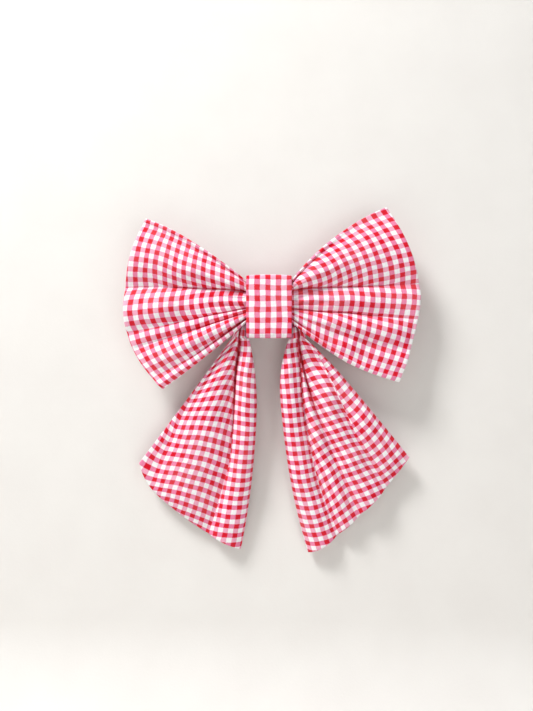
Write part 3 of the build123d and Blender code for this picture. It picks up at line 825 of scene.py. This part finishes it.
class Nodes:
    """A material's node tree, with short ways to add nodes and to join them. place is where a point
    is on the piece, in metres."""

    def __init__(self, name):
        self.material = bpy.data.materials.new(name)
        self.material.use_nodes = True
        self.tree = self.material.node_tree
        self.shader = self.tree.nodes["Principled BSDF"]
        self.place = self.add("ShaderNodeTexCoord", (), "Object")

    def feed(self, socket, value):
        """Joins an output to a socket, or sets the socket to a value."""
        if isinstance(value, bpy.types.NodeSocket):
            self.tree.links.new(value, socket)
        else:
            socket.default_value = value

    def add(self, kind, inputs, output=0, **settings):
        """One output of a new node. Its inputs are fed in order from a list, or by place or name."""
        node = self.tree.nodes.new(kind)
        for key, value in settings.items():
            setattr(node, key, value)
        named = inputs.items() if isinstance(inputs, dict) else enumerate(inputs)
        for key, value in named:
            self.feed(node.inputs[key], value)
        return node.outputs[output]

    def math(self, operation, *values):
        return self.add("ShaderNodeMath", values, operation=operation)

    def mix(self, share, a, b, blend="MIX"):
        """A colour between a and b."""
        return self.add("ShaderNodeMix", {0: share, 6: a, 7: b}, 2, data_type="RGBA", blend_type=blend)

    def shade(self, color, grey):
        """A colour times a grey."""
        return self.mix(1.0, color, self.combine(grey, grey, grey), "MULTIPLY")

    def ramp(self, value, low, high, to_low=0.0, to_high=1.0, kind="SMOOTHSTEP"):
        numbers = (value, low, high, to_low, to_high)
        return self.add("ShaderNodeMapRange", numbers, interpolation_type=kind)

    def noise(self, vector, scale, detail=2.0, roughness=0.5):
        inputs = {"Vector": vector, "Scale": scale, "Detail": detail, "Roughness": roughness}
        return self.add("ShaderNodeTexNoise", inputs, "Fac")

    def combine(self, x, y, z=0.0):
        return self.add("ShaderNodeCombineXYZ", (x, y, z))

    def bump(self, height, distance, strength=1.0, before=None):
        inputs = {"Height": height, "Distance": distance, "Strength": strength}
        if before is not None:
            inputs["Normal"] = before
        return self.add("ShaderNodeBump", inputs)

    def cloth_place(self):
        """The two cloth coordinates, in repeats."""
        place = self.add("ShaderNodeUVMap", (), uv_map=UV)
        return [self.add("ShaderNodeSeparateXYZ", (place,), axis) for axis in ("X", "Y")]

    def finish(self, color, roughness, normal=None, **constants):
        self.feed(self.shader.inputs["Base Color"], color)
        self.feed(self.shader.inputs["Roughness"], roughness)
        if normal is not None:
            self.feed(self.shader.inputs["Normal"], normal)
        for name, value in constants.items():
            self.shader.inputs[name.replace("_", " ")].default_value = value
        return self.material


def linear(red, green, blue):
    """A shader colour from 0-255 display values."""
    c = np.array([red, green, blue]) / 255
    c = np.where(c <= 0.04045, c / 12.92, ((c + 0.055) / 1.055) ** 2.4)
    return (*c.tolist(), 1.0)


RED = linear(219, 14, 42)
COLUMN_PINK = linear(236, 132, 169)  # where only the threads across the piece are red
ROW_PINK = linear(241, 169, 194)  # where only the threads along the piece are red
WHITE = linear(250, 249, 250)
TUCK_SHADE_RED = linear(238, 128, 146)  # painted shade and red bounce light: the colour the cloth is multiplied towards in a tucked fold's groove, in place of the shade and the red light from the cloth on both sides


def check_stripes(n, axis, waver, shift):
    """1 on the red threads of one direction and 0 between them; both directions sway on their own."""
    away = (shift, shift, shift)
    spot = n.add("ShaderNodeVectorMath", (n.place, away), operation="ADD")
    sway = n.ramp(n.noise(spot, 75.0), 0.3, 0.7, -0.05, 0.05, "LINEAR")
    moved = n.math("ADD", n.math("ADD", axis, waver), sway)
    to_line = n.math("SUBTRACT", n.math("FRACT", n.math("ADD", moved, 0.5)), 0.5)
    return n.ramp(n.math("ABSOLUTE", to_line), 0.225, 0.275, 1.0, 0.0)


def thread_slub(n, u, v, across_u, across_v):
    """Thick and thin places of one direction's threads, with this many to a repeat along u and v."""
    spot = n.combine(n.math("MULTIPLY", u, across_u), n.math("MULTIPLY", v, across_v))
    return n.noise(spot, 1.0, 2.0, 0.6)


def gingham(name):
    """Woven cotton gingham: two sets of striped threads, plain weave, slubs and a soft nap, with painted
    shade and red bounce light in the fold grooves.
    """
    n = Nodes(name)
    u, v = n.cloth_place()
    waver = n.ramp(n.noise(n.place, 900.0), 0.3, 0.7, -0.016, 0.016, "LINEAR")
    columns = check_stripes(n, u, waver, 0.0)
    rows = check_stripes(n, v, waver, 3.7)
    color = n.mix(rows, n.mix(columns, WHITE, COLUMN_PINK), n.mix(columns, ROW_PINK, RED))
    slub = n.math("ADD", thread_slub(n, u, v, THREADS, 1.3), thread_slub(n, u, v, 1.3, THREADS))
    color = n.shade(color, n.ramp(slub, 0.7, 1.3, 0.84, 1.07, "LINEAR"))
    turn = np.pi * THREADS
    over = n.math("MULTIPLY", *(n.math("SINE", n.math("MULTIPLY", axis, turn)) for axis in (u, v)))
    color = n.shade(color, n.ramp(over, -0.25, 0.2, 0.94, 1.0))
    worn = n.ramp(n.noise(n.place, 35.0, 3.0, 0.6), 0.35, 0.75, 0.0, 0.06)
    color = n.mix(worn, color, WHITE)
    # painted shade: the cloth's colour is darkened and reddened along the fold grooves, the more the deeper
    # the groove, in place of the shade and red bounce light there
    tuck = n.ramp(n.add("ShaderNodeAttribute", (), "Fac", attribute_name=TUCK), 0.25, 1.6)
    color = n.mix(tuck, color, TUCK_SHADE_RED, "MULTIPLY")
    weave = n.bump(over, 0.00004, 0.55)
    weave = n.bump(slub, 0.00006, 0.35, weave)
    crumple = n.bump(n.noise(n.place, 260.0, 3.0, 0.55), 0.0005, 0.22, weave)
    rough = n.ramp(slub, 0.7, 1.3, 0.92, 0.80, "LINEAR")
    return n.finish(color, rough, crumple, Sheen_Weight=0.10, Sheen_Roughness=0.45, Specular_IOR_Level=0.12)


def interfacing_material():
    """Bonded white interfacing: a felt of short fibres."""
    n = Nodes("interfacing")
    fibres = n.noise(n.place, 1400.0, 4.0, 0.7)
    color = n.mix(n.ramp(fibres, 0.35, 0.65), linear(232, 230, 226), linear(250, 249, 246))
    normal = n.bump(fibres, 0.0001, 0.5)
    return n.finish(color, n.ramp(fibres, 0.3, 0.7, 0.95, 0.8), normal, Sheen_Weight=0.15)


def thread_material(name, dark, light):
    """Twisted sewing thread."""
    n = Nodes(name)
    inputs = {"Vector": n.place, "Scale": 1500.0, "Distortion": 1.5}
    twist = n.add("ShaderNodeTexWave", inputs, "Fac", wave_type="BANDS", bands_direction="DIAGONAL")
    fuzz = n.noise(n.place, 3000.0)
    color = n.mix(twist, dark, light)
    normal = n.bump(fuzz, 0.00003, 0.4, n.bump(twist, 0.00008, 0.8))
    return n.finish(color, n.ramp(fuzz, 0.3, 0.7, 0.7, 0.55), normal, Sheen_Weight=0.2)


def steel(name, base, rough, grain_scale):
    """Plated sheet steel: rolled grain along X, fine scratches and dulled patches."""
    n = Nodes(name)
    rolled = n.add("ShaderNodeMapping", {"Vector": n.place, "Scale": (1.0, 14.0, 14.0)})
    grain = n.noise(rolled, grain_scale, 4.0, 0.65)
    patches = n.noise(n.place, 160.0, 3.0, 0.6)
    scratches = n.ramp(n.noise(rolled, grain_scale * 2.7), 0.62, 0.70)
    color = n.mix(n.ramp(patches, 0.35, 0.7), base, tuple(0.82 * c for c in base[:3]) + (1.0,))
    color = n.mix(n.math("MULTIPLY", scratches, 0.35), color, linear(245, 245, 243))
    roughness = n.math("ADD", n.ramp(patches, 0.3, 0.7, rough, rough + 0.14, "LINEAR"),
                       n.math("MULTIPLY", grain, 0.10))
    normal = n.bump(scratches, 0.00003, 0.35, n.bump(grain, 0.00004, 0.30))
    return n.finish(color, roughness, normal, Metallic=1.0, Anisotropic=0.35)


def glue_material():
    """Set hot glue: milky, slightly yellow, with small bubbles and pulled ripples."""
    n = Nodes("glue")
    ripples = n.noise(n.place, 420.0, 3.0, 0.5)
    bubbles = n.add("ShaderNodeTexVoronoi", {"Vector": n.place, "Scale": 1500.0}, "Distance")
    spots = n.ramp(bubbles, 0.10, 0.22, 1.0, 0.0)
    color = n.mix(ripples, linear(214, 205, 184), linear(240, 236, 222))
    color = n.mix(n.math("MULTIPLY", spots, 0.5), color, linear(252, 250, 242))
    normal = n.bump(spots, 0.00004, 0.3, n.bump(ripples, 0.0004, 0.5))
    return n.finish(color, n.ramp(ripples, 0.3, 0.7, 0.22, 0.40), normal, Subsurface_Weight=0.3,
                    Subsurface_Scale=0.001, Coat_Weight=0.2)


CLOTH_MATERIAL = gingham("gingham_cloth")
WRAP_MATERIAL = gingham("gingham_wrap_cloth")
INTERFACING = interfacing_material()
THREAD = thread_material("thread_white", linear(222, 218, 212), linear(250, 248, 245))
RED_THREAD = thread_material("thread_red", linear(196, 40, 66), linear(236, 92, 112))
BARRETTE_STEEL = steel("barrette_steel_plated", linear(198, 196, 190), 0.24, 900.0)
SPRING_STEEL = steel("spring_steel_plated", linear(184, 182, 178), 0.30, 1200.0)
GLUE = glue_material()


# ---------------- build the bow

BLEND = {
    "wing": ((13.4, 0, 0), (23.0, 0, 0)),
    "tail": ((0, 0, -19.0), (0, 0, -29.0)),
}


def bend_with(piece, fan):
    """Bakes the piece's place into its mesh. The span over which it would pass from following the wrap to
    following its own body is worked out, but not used.
    """
    kind = fan["name"].split("_")[0]
    start, end = (np.array(p, float) * MM for p in BLEND[kind])
    start[0] *= fan["hand"]
    end[0] *= fan["hand"]
    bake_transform(piece)


def build_fan(fan, *more_nodes):
    """The two panels and the interfacing of one wing or tail; the back panel replaces more nodes."""
    made = fan_surfaces(fan)
    for surface in made.values():
        with_root(fan, surface)
    front, back = made["front"], made["back"]
    name, hand = fan["name"], fan["hand"]
    pieces = {
        "front_panel": panel_mesh(name + "_front_cloth", front, back, hand, CLOTH_MATERIAL),
        "back_panel": panel_mesh(name + "_back_cloth", back, front, -hand, CLOTH_MATERIAL),
        "interfacing": stiffener_mesh(name + "_interfacing_sheet", front, back, fan, INTERFACING),
    }
    for node, piece in pieces.items():
        stiff = node == "interfacing"
        bend_with(piece, fan)
        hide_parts(name + "_" + node)
        width, length, area = fan["interfacing_cut" if stiff else "panel_cut"]
    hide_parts(*more_nodes)


build_fan(LEFT_WING)
build_fan(RIGHT_WING)
build_fan(LEFT_TAIL, "tail_fold_left")
build_fan(RIGHT_TAIL, "tail_fold_right")

wrap = wrap_band(WRAP_MATERIAL)
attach(wrap, "bow_root")
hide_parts("centre_wrap")

for node, low, high, passes, waist in (
    ("wing_gathered_centre", WING_CORE_LOW, WING_CORE_HIGH, 18, 0.24),
    ("tail_strip_centre", TAIL_CORE_LOW, TAIL_CORE_HIGH, 16, 0.0),
):
    core, length, width = pleated_core(node + "_pleats", low, high, passes, waist, CLOTH_MATERIAL)
    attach(core, "bow_root")
    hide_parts(node)


def ladder_stitches():
    """Slanting stitches that close the wrap's lap, one for each stitch of the frame."""
    low, high = corners("wrap_closing_stitches")
    count = 9
    s = np.linspace(0, 1, 7)
    lines = []
    for x in np.linspace(low[0] + 0.2, high[0] - 0.2, count):
        z = low[2] + (high[2] - low[2]) * s
        y = WRAP_HIGH[1] - 0.12 + 0.62 * np.sin(np.pi * s)
        lines.append(np.stack([x + 0.5 * (s - 0.5), y, z], axis=1))
    return tube("closing_stitches", lines, 0.16, RED_THREAD)


stitches = ladder_stitches()
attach(stitches, "bow_root")
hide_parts("wrap_closing_stitches")

FINISHES = {
    "gather_thread": THREAD, "glue_pad": GLUE, "barrette_tension_bar": SPRING_STEEL,
    "clasp_prong_upper": SPRING_STEEL, "clasp_prong_lower": SPRING_STEEL,
}
for node in ("barrette_arm", "barrette_base_plate", "barrette_hinge_pin", "clasp_bracket", "clasp_rivet"):
    FINISHES[node] = BARRETTE_STEEL
for node, material in FINISHES.items():
    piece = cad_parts[node]
    piece.data.materials.clear()
    piece.data.materials.append(material)


# ---------------- stage, light and camera

TABLE_Y = 8.2  # the surface that the bow lies on
FLOOR_Z = -256.0
ROOM_LIGHT = 0.40
EYE = (-1.46, -352.0, -29.0)


def backdrop_material():
    """Pale paper. Its back is clear, or it would hide the bow in every view from behind."""
    n = Nodes("backdrop_paper")
    color = n.mix(n.noise(n.place, 30.0, 3.0), linear(224, 221, 217), linear(231, 229, 225))
    n.finish(color, 0.9, n.bump(n.noise(n.place, 800.0, 3.0), 0.0002, 0.2), Specular_IOR_Level=0.2)
    clear = n.add("ShaderNodeBsdfTransparent", ())
    behind = n.add("ShaderNodeNewGeometry", (), "Backfacing")
    shown = n.add("ShaderNodeMixShader", (behind, n.shader.outputs[0], clear))
    n.feed(n.tree.nodes["Material Output"].inputs[0], shown)
    return n.material


def make_stage():
    """A pale surface right behind the bow, which curves down into a floor."""
    radius, half_width, top = 60.0, 900.0, 700.0
    line = [(TABLE_Y, top), (TABLE_Y, FLOOR_Z + radius)]
    for a in np.linspace(0, np.pi / 2, 13)[1:]:
        line.append((TABLE_Y - radius * (1 - np.cos(a)), FLOOR_Z + radius * (1 - np.sin(a))))
    line.append((-900.0, FLOOR_Z))
    vertices = [(x, y, z) for y, z in line for x in (-half_width, half_width)]
    faces = [[2 * k, 2 * k + 2, 2 * k + 3, 2 * k + 1] for k in range(len(line) - 1)]
    no_uvs = np.zeros(8 * len(faces))
    add_mesh("backdrop", vertices, faces, no_uvs, backdrop_material())


def area_light(name, place, aim, size, power):
    """A soft square lamp, placed and aimed in millimetres."""
    lamp = bpy.data.lights.new(name, "AREA")
    lamp.size = size * MM
    lamp.energy = power
    made = add_object(name, lamp)
    made.location = [v * MM for v in place]
    target = add_object(name + "_aim", None)
    target.location = [v * MM for v in aim]
    hold = made.constraints.new("TRACK_TO")
    hold.target = target
    hold.track_axis = "TRACK_NEGATIVE_Z"
    hold.up_axis = "UP_Y"


make_stage()
area_light("key", place=(-480, -430, 780), aim=(0, 0, -20), size=280, power=11.5)
area_light("fill", place=(260, -640, -260), aim=(20, 0, -100), size=500, power=1.5)
area_light("back_fill", place=(-200, 600, 260), aim=(0, 0, -30), size=500, power=4.2)

world = bpy.data.worlds.new("soft_room")
world.use_nodes = True
background = world.node_tree.nodes["Background"]
background.inputs["Color"].default_value = (1.0, 1.0, 1.0, 1.0)
background.inputs["Strength"].default_value = ROOM_LIGHT
bpy.context.scene.world = world
bpy.context.scene.view_settings.view_transform = "Standard"

camera = bpy.data.cameras.new("camera")
camera.lens = 29.0
camera.sensor_width = 36.0
camera.clip_start, camera.clip_end = 0.01, 10.0
eye = add_object("camera", camera)
eye.location = [v * MM for v in EYE]
eye.rotation_euler = (np.pi / 2, 0.0, 0.0)
bpy.context.scene.camera = eye

bpy.context.view_layer.update()
